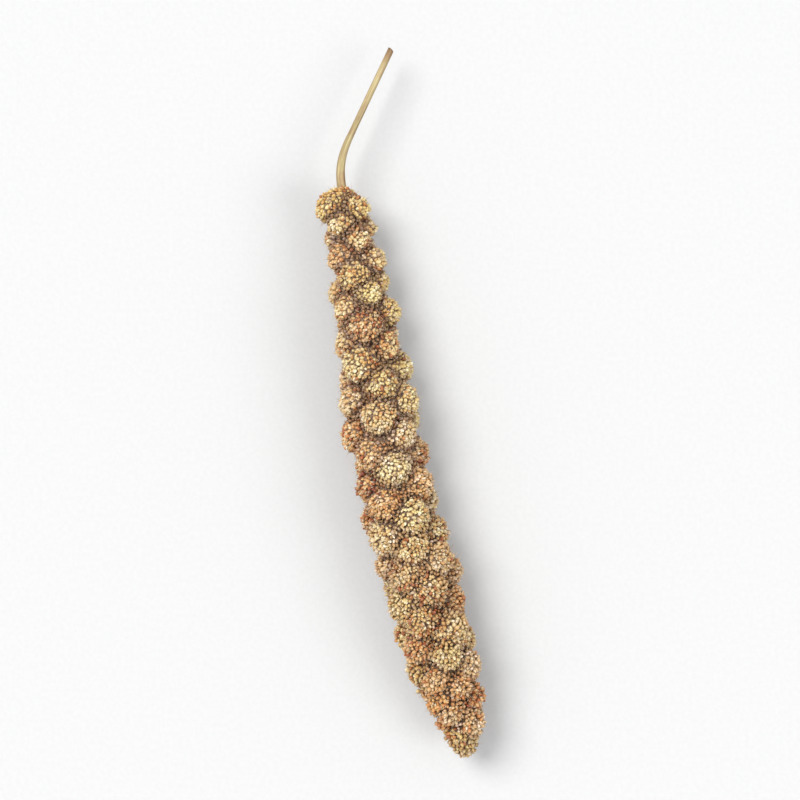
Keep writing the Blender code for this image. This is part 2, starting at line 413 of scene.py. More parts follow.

# %% [markdown]
# ## Meshes from tables of numbers
#
# Thousands of seeds are slow to add one by one. Here every seed is a copy of one small pattern,
# and all copies are worked out at once with numpy: pattern points times size, turned, and moved.
# The result is one ordinary mesh. Instances would be lighter, but a plain mesh can be shown,
# measured and exported by any tool.
#
# Each point can also carry numbers of its own, which the finishes read, such as how far up its
# seed it lies, or how deep in a furrow, both of which the seed finishes turn into painted shade.

# %% Helpers for pieces and copies
def make_piece(name, points, triangles, finish, looks=None, furrow=None):
    """A smooth mesh of triangles that rides with the head."""
    mesh = bpy.data.meshes.new(name)
    mesh.vertices.add(points.size // 3)
    mesh.vertices.foreach_set("co", points.astype(np.float32).ravel())
    mesh.loops.add(3 * len(triangles))
    mesh.loops.foreach_set("vertex_index", triangles.astype(np.int32).ravel())
    mesh.polygons.add(len(triangles))
    mesh.polygons.foreach_set("loop_start", np.arange(0, 3 * len(triangles), 3, dtype=np.int32))
    mesh.update(calc_edges=True)
    mesh.shade_smooth()
    kinds = (("looks", "FLOAT_VECTOR", "vector", looks), ("furrow", "FLOAT", "value", furrow))
    for label, kind, field, numbers in kinds:
        if numbers is not None:
            mesh.attributes.new(label, kind, "POINT")
            mesh.attributes[label].data.foreach_set(field, numbers.astype(np.float32).ravel())
    mesh.materials.append(finish)
    piece = put_in_scene(name, mesh)
    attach(piece, "root")
    print(name, "has", len(triangles), "triangles")
    return piece


def unit(rows):
    """Each row as a direction of length 1."""
    return rows / np.linalg.norm(rows, axis=-1, keepdims=True)


def copied_triangles(triangles, point_count, copies):
    """A pattern's triangles again for each copy, with each copy's own point numbers."""
    numbers = triangles[None, :, :] + point_count * np.arange(copies)[:, None, None]
    return numbers.reshape(-1, 3)


def scatter(pattern, triangles, places, frames):
    """Copies a pattern to each place. A frame's three rows are where the pattern's axes go."""
    points = places[:, None, :] + np.matmul(pattern, frames)
    return points.reshape(-1, 3), copied_triangles(triangles, len(pattern), len(places))


print("Two copies of a triangle have", copied_triangles(np.array([[0, 1, 2]]), 3, 2).tolist())

# %% Helpers for round bodies
def ring_triangles(rings, sides):
    """Triangles of a closed body: a first point, rings of points, and a last point."""
    last = 1 + rings * sides
    rows = []
    for k in range(sides):
        after = (k + 1) % sides
        rows.append((0, 1 + after, 1 + k))
        rows.append((last, last - sides + k, last - sides + after))
        for ring in range(rings - 1):
            low = 1 + ring * sides
            high = low + sides
            rows.append((low + k, low + after, high + after))
            rows.append((low + k, high + after, high + k))
    return np.array(rows)


def turned_body(heights, radii, sides, lower_face=1.0):
    """A point, rings and a point, as from a lathe. lower_face flattens the side below y = 0."""
    rows = [(0.0, 0.0, heights[0])]
    for height, radius in zip(heights[1:-1], radii):
        for k in range(sides):
            angle = math.tau * k / sides
            depth = math.sin(angle) * (1.0 if math.sin(angle) > 0.0 else lower_face)
            rows.append((radius * math.cos(angle), radius * depth, height))
    rows.append((0.0, 0.0, heights[-1]))
    return np.array(rows), ring_triangles(len(radii), sides)


def capped(rings):
    """Rings as one table of points, with a middle point before the first and after the last."""
    start, end = rings[0].mean(axis=0), rings[-1].mean(axis=0)
    return np.concatenate([start[None], rings.reshape(-1, 3), end[None]])


def tube(path, radii, sides):
    """A closed round tube along a path, with one radius for each point, or for each side too."""
    way = unit(np.gradient(path, axis=0))
    least = np.eye(3)[np.argmin(np.abs(path[-1] - path[0]))]
    side = unit(np.cross(way, least))
    up = np.cross(side, way)
    angles = np.arange(sides) * math.tau / sides
    spokes = np.cos(angles)[None, :, None] * side[:, None, :]
    spokes = spokes + np.sin(angles)[None, :, None] * up[:, None, :]
    rings = path[:, None, :] + spokes * np.asarray(radii).reshape(len(path), -1, 1)
    points = np.concatenate([path[:1], rings.reshape(-1, 3), path[-1:]])
    return points, ring_triangles(len(path), sides)


def join_tables(tables):
    """Several tables of points and triangles as one."""
    first = 0
    points, triangles = [], []
    for table_points, table_triangles in tables:
        points.append(table_points)
        triangles.append(table_triangles + first)
        first += len(table_points)
    return np.concatenate(points), np.concatenate(triangles)


print("A tube of 4 points and 6 sides has", len(ring_triangles(4, 6)), "triangles")

# %% [markdown]
# ## The dark bed between the seeds
#
# Between the seeds one looks into short, dark, tangled branchlets. Modelling each would cost a
# lot and show nothing, so a dark rough body fills every lobe a little below its seeds. Its dark
# brown is the branchlets' own colour deepened with painted shade, as little light gets down
# there. Small eggs and a slim core are put together and skinned over in one go with a voxel
# remesh, which melts overlapping shapes into one closed skin.

# %% Bed finish
# Dark brown of the branchlets, deepened with painted shade.
BED_TONES_AND_PAINTED_SHADE = (
    (0.34, (0.050, 0.028, 0.022)),
    (0.50, (0.170, 0.100, 0.064)),
    (0.66, (0.380, 0.250, 0.150)),
)
TANGLE_SCALE = 2100.0
TANGLE_DEPTH = 0.0006

bed_finish, bed_shader = new_finish("seed_bed")
tangle = add_noise(bed_finish, object_place(bed_finish), TANGLE_SCALE, detail=5.0)
bed_colour = add_ramp(bed_finish, tangle, BED_TONES_AND_PAINTED_SHADE)
bed_normal = add_bump(bed_finish, tangle, TANGLE_DEPTH)
fill_inputs(bed_shader, {"Base Color": bed_colour, "Normal": bed_normal, "Roughness": 0.9})
print("The bed finish has", len(bed_finish.node_tree.nodes), "nodes")

# %% Bed under the seeds
BED_DEPTH = 0.00122
BED_SIDES = 14
BED_RINGS = 7
BED_VOXEL = 0.00075
CORE_STRETCH = (0.06, 0.94)
CORE_SHARE = (0.20, 0.52)
CORE_SWELL = (0.1, 0.4)
CORE_POINTS = 40
CORE_SIDES = 12

centres = np.array([lobe.centre for lobe in lobes])
turns = np.array([lobe.direction.to_track_quat("Z", "Y").to_matrix() for lobe in lobes])
radii = np.array([(lobe.half_width, lobe.half_width, lobe.half_length) for lobe in lobes])

ball_heights = [-math.cos(math.pi * ring / (BED_RINGS + 1)) for ring in range(BED_RINGS + 2)]
ball_radii = [math.sqrt(1.0 - rise * rise) for rise in ball_heights[1:-1]]
ball_points, ball_triangles = turned_body(ball_heights, ball_radii, BED_SIDES)
bed_frames = np.transpose(turns, (0, 2, 1)) * (radii - BED_DEPTH)[:, :, None]
eggs = scatter(ball_points, ball_triangles, centres, bed_frames)
core_path, core_radii = [], []
for share in np.linspace(*CORE_STRETCH, CORE_POINTS):
    core_path.append(axis_at(STALK_LENGTH + HEAD_LENGTH * share)[0])
    core_radii.append(head_radius(share) * between(CORE_SHARE, smooth_step(*CORE_SWELL, share)))
core = tube(np.array(core_path), core_radii, CORE_SIDES)
bed_points, bed_triangles = join_tables([eggs, core])
bed = make_piece("seed_bed", bed_points, bed_triangles, bed_finish)
remesh = bed.modifiers.new("skin", "REMESH")
remesh.mode = "VOXEL"
remesh.voxel_size = BED_VOXEL
bpy.context.view_layer.update()
skinned = bpy.data.meshes.new_from_object(bed.evaluated_get(bpy.context.evaluated_depsgraph_get()))
bed.modifiers.clear()
bed.data = skinned
skinned.shade_smooth()
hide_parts("seed_head")
print("The bed's skin has", sum(len(face.vertices) - 2 for face in skinned.polygons), "triangles")

# %% [markdown]
# ## Where the seeds sit
#
# Real millet seeds are under two millimetres long, and a head like this one carries thousands. On
# every egg the seed places follow the golden angle again, which spreads them evenly, and a small
# random shift breaks the regular pattern. Places that lie inside a neighbouring lobe are dropped,
# and so is one of each pair that would stand in the same spot.
#
# A lobe's surface isn't smooth: seeds sit in little clumps. A few waves that run in random
# directions are added up, and the sum sinks some groups of seeds deeper than others.

# %% Places on one egg
SEED_PITCH = 0.00148
SEED_SHIFT = 0.26
CLUMP_SIZE = 0.0040
CLUMP_WAVES = 7
CHANCE_START = 31

chance = np.random.default_rng(CHANCE_START)
clump_waves = unit(chance.normal(size=(CLUMP_WAVES, 3))) * math.tau / CLUMP_SIZE
clump_starts = chance.uniform(0.0, math.tau, CLUMP_WAVES)


def waves_at(places, rate=1.0, start=0.0):
    """The mean of all waves at each place. A rate under 1 gives longer waves."""
    return np.cos(places @ (rate * clump_waves.T) + start + clump_starts).mean(axis=1)


def egg_places(number):
    """Places and outward directions of the seeds on one lobe's egg."""
    width, length = radii[number, 0], radii[number, 2]
    area = 4.0 * math.pi * width * (width + 2.0 * length) / 3.0
    count = round(area / (SEED_PITCH**2 * math.sqrt(3.0) / 2.0))
    order = np.arange(count)
    rise = 1.0 - 2.0 * (order + 0.5) / count
    spin = order * GOLDEN_ANGLE + chance.uniform(0.0, math.tau)
    ring = np.sqrt(1.0 - rise**2)
    ball = np.stack([ring * np.cos(spin), ring * np.sin(spin), rise], axis=1)
    ball = unit(ball + chance.normal(0.0, SEED_SHIFT * SEED_PITCH / width, ball.shape))
    places = centres[number] + (ball * radii[number]) @ turns[number].T
    outward = unit(ball / radii[number]) @ turns[number].T
    return places, outward


def egg_levels(places):
    """How far each place is from every lobe's middle: 1 is on that lobe's egg."""
    levels = np.empty((len(places), len(lobes)))
    for number in range(len(lobes)):
        local = ((places - centres[number]) @ turns[number]) / radii[number]
        levels[:, number] = np.linalg.norm(local, axis=1)
    return levels


print("The clumps are made of", CLUMP_WAVES, "waves,", 1000.0 * CLUMP_SIZE, "mm long")

# %% Seeds on all lobes
BURIED = 0.95
LEAST_GAP = 0.00095
SEED_SINK = 0.00080
SINK_SPREAD = 0.00025
CLUMP_DEPTH = 0.00065
CLUMP_EDGE = 1.2


def tree_of(places):
    """A search tree that finds which places are near a point."""
    tree = KDTree(len(places))
    for index, place in enumerate(places):
        tree.insert(place, index)
    tree.balance()
    return tree


def keep_apart(places, gap, mates):
    """True for each place that is no nearer than gap to a kept one of other mates."""
    tree = tree_of(places)
    kept = np.ones(len(places), bool)
    for index, place in enumerate(places):
        for _, near, _ in tree.find_range(place, gap):
            if near < index and kept[near] and mates[near] != mates[index]:
                kept[index] = False
                break
    return kept


tables = []
for number in range(len(lobes)):
    places, outward = egg_places(number)
    levels = egg_levels(places)
    levels[:, number] = np.inf
    nearest = levels.min(axis=1)
    kept = nearest > BURIED
    tables.append((places[kept], outward[kept], np.full(kept.sum(), number), nearest[kept]))
seed_tip, seed_out, seed_lobe, seed_level = (np.concatenate(column) for column in zip(*tables))
free = keep_apart(seed_tip, LEAST_GAP, seed_lobe)
seed_tip, seed_out, seed_lobe = seed_tip[free], seed_out[free], seed_lobe[free]
seed_level = seed_level[free]
clumps = waves_at(seed_tip)
sink = SEED_SINK + chance.uniform(0.0, SINK_SPREAD, len(seed_tip))
sink += CLUMP_DEPTH * np.clip(0.5 + CLUMP_EDGE * clumps, 0.0, 1.0)
seed_centre = seed_tip - seed_out * sink[:, None]
print(len(seed_tip), "seeds stay of", len(free))

# %% [markdown]
# ## Seeds in the furrows
#
# Between two lobes the eggs leave a furrow where no seed has its place, and the bed would show
# there as a bare strip. On the plant, seeds fill the furrows too. So points of the bed's own skin
# that are far from every seed get one more seed each, which stands straight up from the bed.
#
# Each seed also gets a number for how deep in the head it sits. The crowns of the lobes are pale
# gold, their rims are browner, and only the pits where several lobes meet are dark and purplish.
# That darkness is painted shade, as little light gets into the pits, and sunken clumps of seeds
# get a little of it too.

# %% How deep and how full a furrow is
FURROW_FILL = (0.0002, 0.0010)
FILLED_STRETCH = (0.35, 0.75)
PIT_DEPTH = (0.96, 0.66)
OUTLINE_POINTS = 101

axis_points = np.array(AXIS)


def share_between(pair, values):
    """0 at a pair's first number and before it, 1 at its last and after it, even in between."""
    return np.clip((values - pair[0]) / (pair[1] - pair[0]), 0.0, 1.0)


def along_head(places):
    """Each place's share of the head's length, and the way to it straight out from the line."""
    gaps = places[:, None] - axis_points[None]
    nearest = np.linalg.norm(gaps, axis=2).argmin(axis=1)
    way_out = gaps[np.arange(len(places)), nearest]
    return (nearest * AXIS_STEP - STALK_LENGTH) / HEAD_LENGTH, way_out


def pit_depth(places):
    """0 near the head's outline, and 1 deep between the lobes."""
    share, way_out = along_head(places)
    table = np.linspace(0.0, 1.0, OUTLINE_POINTS)
    outline = np.interp(share, table, [head_radius(value) for value in table])
    return share_between(PIT_DEPTH, np.linalg.norm(way_out, axis=1) / outline)


def filling(places):
    """How far the furrows are filled at each place: a little at the base, more at the tip."""
    return between(FURROW_FILL, share_between(FILLED_STRETCH, along_head(places)[0]))


print("The furrows are filled by", np.round(1000.0 * filling(axis_points[[60, 220]]), 2), "mm")

# %% Seeds where the bed is bare
FURROW_GAP = 0.00112
FURROW_LIFT = 0.00040
FURROW_EDGE = 1.45
SKIN_FILL = 0.8
STALK_CLEARANCE = 0.0022
STALK_SEEN = 0.0475
STALK_POINTS = 50

sunken = share_between((FURROW_EDGE, BURIED), seed_level) ** 2
_, way_out = along_head(seed_centre)
seed_centre += unit(way_out) * (sunken * filling(seed_centre))[:, None]
skin_places = np.empty(3 * len(skinned.vertices))
skin_outward = np.empty(3 * len(skinned.vertices))
skinned.vertices.foreach_get("co", skin_places)
skinned.vertex_normals.foreach_get("vector", skin_outward)
skin_outward = skin_outward.reshape(-1, 3)
skin_places = skin_places.reshape(-1, 3)
skin_places += skin_outward * (FURROW_LIFT + SKIN_FILL * filling(skin_places))[:, None]
tree = tree_of(seed_centre)
bare = np.array([tree.find(place)[2] > FURROW_GAP for place in skin_places])
stalk_places = np.linspace(0.0, STALK_SEEN, STALK_POINTS)
stalk_line = np.array([axis_at(along)[0] for along in stalk_places])
gaps = np.linalg.norm(skin_places[:, None] - stalk_line[None], axis=2).min(axis=1)
bare = np.flatnonzero(bare & (gaps > STALK_CLEARANCE))
chance.shuffle(bare)
bare = bare[keep_apart(skin_places[bare], FURROW_GAP, np.arange(len(bare)))]
in_furrow = np.concatenate([np.zeros(len(seed_centre)), np.ones(len(bare))])
seed_centre = np.concatenate([seed_centre, skin_places[bare]])
seed_out = np.concatenate([seed_out, skin_outward[bare]])
seed_lobe = np.concatenate([seed_lobe, egg_levels(skin_places[bare]).argmin(axis=1)])
print(len(bare), "seeds fill the furrows, so there are", len(seed_centre), "in all")

# %% How dark each seed's furrow is
RIM_SHARE = 0.55
PIT_SHARE = 0.70
PIT_ON_CROWN = 0.4
CLUMP_SHARE = 0.35
CLUMP_SHADE_EDGE = 1.6
FILLED_PALER = 0.30

# Painted shade: rims, pits and sunken clumps get higher numbers, which the finishes darken.
rim = np.concatenate([sunken, np.ones(len(bare))])
clump_low = np.clip(CLUMP_SHADE_EDGE * clumps, 0.0, 1.0)
clump_low = np.concatenate([clump_low, np.zeros(len(bare))])
seed_furrow_shade = PIT_SHARE * pit_depth(seed_centre) * between((PIT_ON_CROWN, 1.0), rim)
seed_furrow_shade += RIM_SHARE * rim
seed_furrow_shade = np.clip(seed_furrow_shade + CLUMP_SHARE * clump_low, 0.0, 1.0)
seed_furrow_shade *= 1.0 - FILLED_PALER * share_between(FURROW_FILL, filling(seed_centre))
order = np.argsort(seed_lobe, kind="stable")
seed_centre, seed_out, seed_lobe = seed_centre[order], seed_out[order], seed_lobe[order]
in_furrow, seed_furrow_shade = in_furrow[order], seed_furrow_shade[order]
print("The darkest furrow number is", seed_furrow_shade.max().round(2))

# %% [markdown]
# ## How each seed stands
#
# A seed leans from the surface towards the tip of its lobe, like a scale on a pine cone. Each is
# a little larger or smaller than the next and a little off its way, or the head would look
# knitted. Seeds below the paper are lifted onto it, and none stands far above the solids.

# %% Turn and size each seed
SEED_LENGTH = 0.00185
SEED_WIDTH = 0.00134
SEED_THICKNESS = 0.00116
SEED_SPREAD = 0.22
SEED_LEAN = math.radians(34.0)
LEAN_SPREAD = 0.30
ROLL_SPREAD = 0.6
LOOSE_LIFT = 0.00005
TOP_ALLOWANCE = 0.00055
NEVER_ZERO = 1e-9

lobe_way = np.array([lobe.direction for lobe in lobes])[seed_lobe]
uphill = lobe_way - seed_out * np.sum(lobe_way * seed_out, axis=1, keepdims=True)
lean_angle = (SEED_LEAN * (1.0 - in_furrow))[:, None]
lean = uphill * np.sin(lean_angle) + seed_out * np.cos(lean_angle)
seed_way = unit(lean + chance.normal(0.0, LEAN_SPREAD, lean.shape))
along_way = seed_way * np.sum(seed_out * seed_way, axis=1, keepdims=True)
face = unit(seed_out - along_way + NEVER_ZERO)
roll = chance.normal(0.0, ROLL_SPREAD, len(seed_way))[:, None]
seed_face = face * np.cos(roll) + np.cross(seed_way, face) * np.sin(roll)
seed_side = np.cross(seed_face, seed_way)
seed_size = 1.0 + chance.uniform(-SEED_SPREAD, SEED_SPREAD, len(seed_way))

half_sizes = np.array([SEED_WIDTH, SEED_THICKNESS, SEED_LENGTH]) / 2.0
seed_frames = np.stack([seed_side, seed_face, seed_way], axis=1) * half_sizes[:, None]
seed_frames = seed_frames * seed_size[:, None, None]
depth = np.linalg.norm(seed_frames[:, :, 2], axis=1)
seed_centre[:, 2] += np.maximum(0.0, LOOSE_LIFT + depth - seed_centre[:, 2])
ceiling = solid_box[1][2] + TOP_ALLOWANCE
seed_centre[:, 2] -= np.maximum(0.0, seed_centre[:, 2] + depth - ceiling)
print("The lowest seed lies", round(1000 * (seed_centre[:, 2] - depth).min(), 3), "mm up")

# %% [markdown]
# ## The finish of a seed
#
# A red millet hull is thin, hard and glossy. Most are tan to golden, some are deep orange red, a
# few are pale, and all are painted darker at the root: painted shade, where the neighbours keep
# the light off. Three numbers ride on every point of a seed: the seed's own tone, how far up the
# seed the point is, and the tone of its lobe, because lobes ripen differently. A fourth says how
# deep in a furrow the seed sits.
#
# The tone goes through a colour ramp, the height paints shade at the root, the furrow paints
# shade over the whole seed with a browner, purplish tint in the pits, and fine noise adds
# freckles and a barely wrinkled gloss.

# %% Seed hull finish
HULL_TONES = (
    (0.00, (0.360, 0.126, 0.050)),
    (0.12, (0.525, 0.268, 0.102)),
    (0.30, (0.602, 0.424, 0.196)),
    (0.55, (0.656, 0.534, 0.296)),
    (0.78, (0.708, 0.618, 0.400)),
    (0.92, (0.768, 0.706, 0.540)),
    (1.00, (0.840, 0.792, 0.685)),
)
# Painted shade: each seed darker at its root, where its neighbours keep the light off.
HULL_ROOT_PAINTED_SHADE = (
    (0.05, (0.43, 0.32, 0.28)),
    (0.38, (0.77, 0.68, 0.61)),
    (0.66, (0.94, 0.90, 0.86)),
    (0.88, WHITE),
)
# Painted shade towards the furrows and pits, mixed with a browner, purplish tint there.
FURROW_TINT_AND_PAINTED_SHADE = (
    (0.00, WHITE),
    (0.25, (0.97, 0.92, 0.86)),
    (0.55, (0.83, 0.71, 0.65)),
    (1.00, (0.44, 0.34, 0.36)),
)
LOBE_TONES = (
    (0.00, (0.95, 0.72, 0.50)),
    (0.30, (0.94, 0.87, 0.84)),
    (0.60, (0.96, 0.99, 0.75)),
    (1.00, (0.99, 0.99, 0.94)),
)
FRECKLES = ((0.35, (0.82, 0.76, 0.72)), (0.60, WHITE))
FRECKLE_SCALE = 2600.0
HULL_GLOSS = ((0.30, (0.36, 0.36, 0.36)), (0.75, (0.58, 0.58, 0.58)))
GLOSS_SCALE = 900.0
WRINKLE_SCALE = 5200.0
WRINKLE_DEPTH = 0.00004


def looks_of(material):
    """The three numbers that ride on each point, as three outputs."""
    numbers = add_node(material, "ShaderNodeAttribute", {}, attribute_name="looks")
    split = add_node(material, "ShaderNodeSeparateXYZ", {"Vector": numbers.outputs["Vector"]})
    return split.outputs


def furrow_tint_and_painted_shade(material):
    """Painted shade towards the furrows, with browner lobe rims and purple-brown bristle roots."""
    furrow = add_node(material, "ShaderNodeAttribute", {}, attribute_name="furrow")
    return add_ramp(material, furrow.outputs["Fac"], FURROW_TINT_AND_PAINTED_SHADE)


hull, hull_shader = new_finish("seed_hull")
tone, height, lobe_tone = looks_of(hull)
here = object_place(hull)
colour = shaded(
    hull,
    add_ramp(hull, tone, HULL_TONES),
    add_ramp(hull, height, HULL_ROOT_PAINTED_SHADE),
    add_ramp(hull, lobe_tone, LOBE_TONES),
    add_ramp(hull, add_noise(hull, here, FRECKLE_SCALE), FRECKLES),
    furrow_tint_and_painted_shade(hull),
)
gloss = add_ramp(hull, add_noise(hull, here, GLOSS_SCALE), HULL_GLOSS)
wrinkles = add_bump(hull, add_noise(hull, here, WRINKLE_SCALE, detail=2.0), WRINKLE_DEPTH)
fill_inputs(hull_shader, {"Base Color": colour, "Roughness": gloss, "Normal": wrinkles})
print("The hull finish has", len(hull.node_tree.nodes), "nodes")

# %% [markdown]
# ## The seeds
#
# One seed is a ring-by-ring body, as on a potter's wheel: blunt at the root, widest below the
# middle and pointed at the tip. One face is flatter than the other, as a millet grain's is. Seven
# sides are enough, because smooth shading hides the corners at this size.
#
# Seeds of one tone lie together in patches, and some stretches of the head are lighter than
# others. The waves of the clumps give both, drawn longer.
#
# The seeds are made in five stretches along the head, so that no mesh is too heavy to handle.

# %% Seeds in five stretches
SEED_SIDES = 7
SEED_HEIGHTS = (-1.0, -0.80, -0.28, 0.26, 0.72, 1.0)
SEED_RINGS = (0.60, 0.97, 0.93, 0.52)
FLAT_FACE = 0.72
STRETCHES = 5
TONE_SHAPE = (2.1, 2.1)
PATCH_RATE = 0.8
PATCH_START = 2.0
PATCH_TONE = 0.38
DRIFT_RATE = 0.11
DRIFT_TONE = 0.30
LOBE_LIGHTS = (-0.17, 0.11)
RIPENESS = (0.72, 0.32)
RIPENESS_SPREAD = 0.55


def three_numbers(shape, first, second, third):
    """A table of the three numbers that ride on each point of each copy."""
    table = np.empty((*shape, 3))
    for column, values in enumerate((first, second, third)):
        table[:, :, column] = values
    return table


seed_pattern, seed_triangles = turned_body(SEED_HEIGHTS, SEED_RINGS, SEED_SIDES, FLAT_FACE)
lobe_ripeness = between(RIPENESS, np.arange(len(lobes)) / len(lobes))
lobe_ripeness += chance.uniform(-RIPENESS_SPREAD, RIPENESS_SPREAD, len(lobes))
lobe_ripeness = np.clip(lobe_ripeness, 0.0, 1.0)
lobe_lights = chance.uniform(*LOBE_LIGHTS, len(lobes))
seed_tone = chance.beta(*TONE_SHAPE, len(seed_centre))
seed_tone += PATCH_TONE * waves_at(seed_centre, PATCH_RATE, PATCH_START)
seed_tone += DRIFT_TONE * waves_at(seed_centre, DRIFT_RATE) + lobe_lights[seed_lobe]
seed_tone = np.clip(seed_tone, 0.0, 1.0)
ends = np.linspace(0, len(seed_centre), STRETCHES + 1).astype(int)
for stretch in range(STRETCHES):
    part = slice(ends[stretch], ends[stretch + 1])
    points, triangles = scatter(seed_pattern, seed_triangles, seed_centre[part], seed_frames[part])
    tones = seed_tone[part][:, None]
    ripeness = lobe_ripeness[seed_lobe[part]][:, None]
    seed_height = (seed_pattern[:, 2] + 1.0) / 2.0
    looks = three_numbers((len(tones), len(seed_pattern)), tones, seed_height, ripeness)
    furrow = np.repeat(seed_furrow_shade[part], len(seed_pattern))
    seeds = make_piece(f"seeds_{stretch + 1}", points, triangles, hull, looks, furrow)
    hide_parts("seed_head")

# %% [markdown]
# ## Papery husks
#
# Round the root of each seed sit thin pale scales, the husks. They have mostly lost their hold
# and stand off like small petals, which gives the lobes their starry look. Each husk is a leaf
# with a root, two rings of four corners and a tip, and wraps one side of its seed. A husk that
# would stick out of the measured box is left out.

# %% Husk finish
HUSK_TONES = (
    (0.00, (0.380, 0.280, 0.170)),
    (0.45, (0.600, 0.490, 0.320)),
    (0.80, (0.760, 0.670, 0.490)),
    (1.00, (0.900, 0.850, 0.720)),
)
# Painted shade: each husk darker at its root, deep among the seeds.
HUSK_ROOT_PAINTED_SHADE = ((0.0, (0.45, 0.36, 0.30)), (0.45, (0.86, 0.80, 0.74)), (1.0, WHITE))
VEIN_SHADE = ((0.0, (0.84, 0.80, 0.74)), (0.5, WHITE))
VEIN_SCALE = 1.6
GRAIN_SCALE = 3500.0
GRAIN_DEPTH = 0.00005

husk, husk_shader = new_finish("husk_paper")
husk_tone, husk_height, husk_across = looks_of(husk)
across = add_node(husk, "ShaderNodeCombineXYZ", {"X": husk_across}).outputs[0]
veins = add_node(husk, "ShaderNodeTexWave", {"Vector": across, "Scale": VEIN_SCALE}).outputs["Fac"]
husk_colour = shaded(
    husk,
    add_ramp(husk, husk_tone, HUSK_TONES),
    add_ramp(husk, husk_height, HUSK_ROOT_PAINTED_SHADE),
    add_ramp(husk, veins, VEIN_SHADE),
    furrow_tint_and_painted_shade(husk),
)
husk_grain = add_bump(husk, add_noise(husk, object_place(husk), GRAIN_SCALE), GRAIN_DEPTH)
fill_inputs(husk_shader, {"Base Color": husk_colour, "Normal": husk_grain, "Roughness": 0.55})
print("The husk finish has", len(husk.node_tree.nodes), "nodes")

# %% Husks on most of the seeds
HUSK_SHARE = 0.60
HUSK_ALLOWANCE = 0.00065
HUSK_REACH = (0.55, 1.05)
HUSK_SPAN = math.radians(58.0)
HUSK_HEIGHTS = (-1.02, -0.45, 0.25, 0.72)
HUSK_RADII = (0.30, 1.02, 1.24, 1.30)
HUSK_THICKNESS = 0.11
HUSK_SPANS = (1.0, 0.86)
HUSK_TURN = 1.2
HUSK_GROWTH = (0.55, 0.6)
HUSK_TONE_SHAPE = (2.2, 1.8)


def in_the_box(copies, allowance):
    """True for each copy above the paper and no further past the solids than the allowance."""
    low_side = np.array(solid_box[0]) - allowance
    low_side[2] = 0.0
    high_side = np.array(solid_box[1]) + allowance
    return np.all((copies >= low_side) & (copies < high_side), axis=(1, 2))


chosen = np.flatnonzero(chance.random(len(seed_centre)) < HUSK_SHARE)
reach = chance.uniform(*HUSK_REACH, len(chosen))[:, None]
facing = (math.pi / 2.0 + chance.normal(0.0, HUSK_TURN, len(chosen)))[:, None]
rows = [(0.0, HUSK_RADII[0], HUSK_HEIGHTS[0], 0.5)]
for station, span_share in enumerate(HUSK_SPANS, start=1):
    span, middle, rise = HUSK_SPAN * span_share, HUSK_RADII[station], HUSK_HEIGHTS[station]
    rows += [
        (-span, middle, rise, 0.0),
        (0.0, middle + HUSK_THICKNESS, rise, 0.5),
        (span, middle, rise, 1.0),
        (0.0, middle - HUSK_THICKNESS / 2.0, rise, 0.5),
    ]
rows.append((0.0, HUSK_RADII[-1], HUSK_HEIGHTS[-1], 0.5))
husk_angles, husk_radii, husk_heights, husk_sides = np.array(rows).T
around = facing + husk_angles
upwards = (husk_heights + 1.0) * (HUSK_GROWTH[0] + HUSK_GROWTH[1] * reach) - 1.0
patterns = np.stack([np.cos(around) * husk_radii, np.sin(around) * husk_radii, upwards], axis=2)
leaves = seed_centre[chosen][:, None, :] + np.matmul(patterns, seed_frames[chosen])
leaves[:, :, 2] = np.maximum(leaves[:, :, 2], 0.0)
husk_tones = chance.beta(*HUSK_TONE_SHAPE, len(chosen))[:, None]
heights = (husk_heights + 1.0) / (HUSK_HEIGHTS[-1] + 1.0)
looks = three_numbers(leaves.shape[:2], husk_tones, heights, husk_sides)
fits = in_the_box(leaves, HUSK_ALLOWANCE)
furrow = np.repeat(seed_furrow_shade[chosen][fits], len(rows))
triangles = copied_triangles(ring_triangles(len(HUSK_SPANS), 4), len(rows), fits.sum())
husks = make_piece("husks", leaves[fits], triangles, husk, looks[fits], furrow)
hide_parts("seed_head")

# %% [markdown]
# ## Bristles
#
# Foxtail millet is named after its bristles. On this dried head they are short and only soften
# the outline. Each is a curved needle with three sides and two segments, from the root of a seed
# past its tip. Needles that would stick out of the measured box or into the paper are left out.

# %% Bristle finish
BRISTLE_TONES = (
    (0.0, (0.300, 0.180, 0.090)),
    (0.5, (0.560, 0.400, 0.220)),
    (1.0, (0.780, 0.640, 0.420)),
)
# Painted shade: each bristle darker at its root, deep among the seeds.
BRISTLE_ROOT_PAINTED_SHADE = ((0.2, (0.5, 0.42, 0.38)), (0.8, WHITE))

bristle_finish, bristle_shader = new_finish("bristle_straw")
bristle_tone, bristle_height, _ = looks_of(bristle_finish)
bristle_colour = add_ramp(bristle_finish, bristle_tone, BRISTLE_TONES)
bristle_root_shade = add_ramp(bristle_finish, bristle_height, BRISTLE_ROOT_PAINTED_SHADE)
bristle_colour = shaded(bristle_finish, bristle_colour, bristle_root_shade)
fill_inputs(bristle_shader, {"Base Color": bristle_colour, "Roughness": 0.5})
print("The bristle finish has", len(bristle_finish.node_tree.nodes), "nodes")

# %% Bristles between the seeds
BRISTLE_SHARE = 0.50
BRISTLE_LENGTHS = (0.0022, 0.0036)
BRISTLE_RADIUS = 0.00007
BRISTLE_SPREAD = 0.30
BRISTLE_OUTWARD = 0.35
BRISTLE_BEND = 0.10
BRISTLE_ALLOWANCE = 0.0004
ROOT_BELOW = 0.40
ROOT_ASIDE = 0.45
NEEDLE_HEIGHTS = (0.0, 0.02, 0.55, 1.0)
NEEDLE_RINGS = (1.0, 0.75)
NEEDLE_SIDES = 3

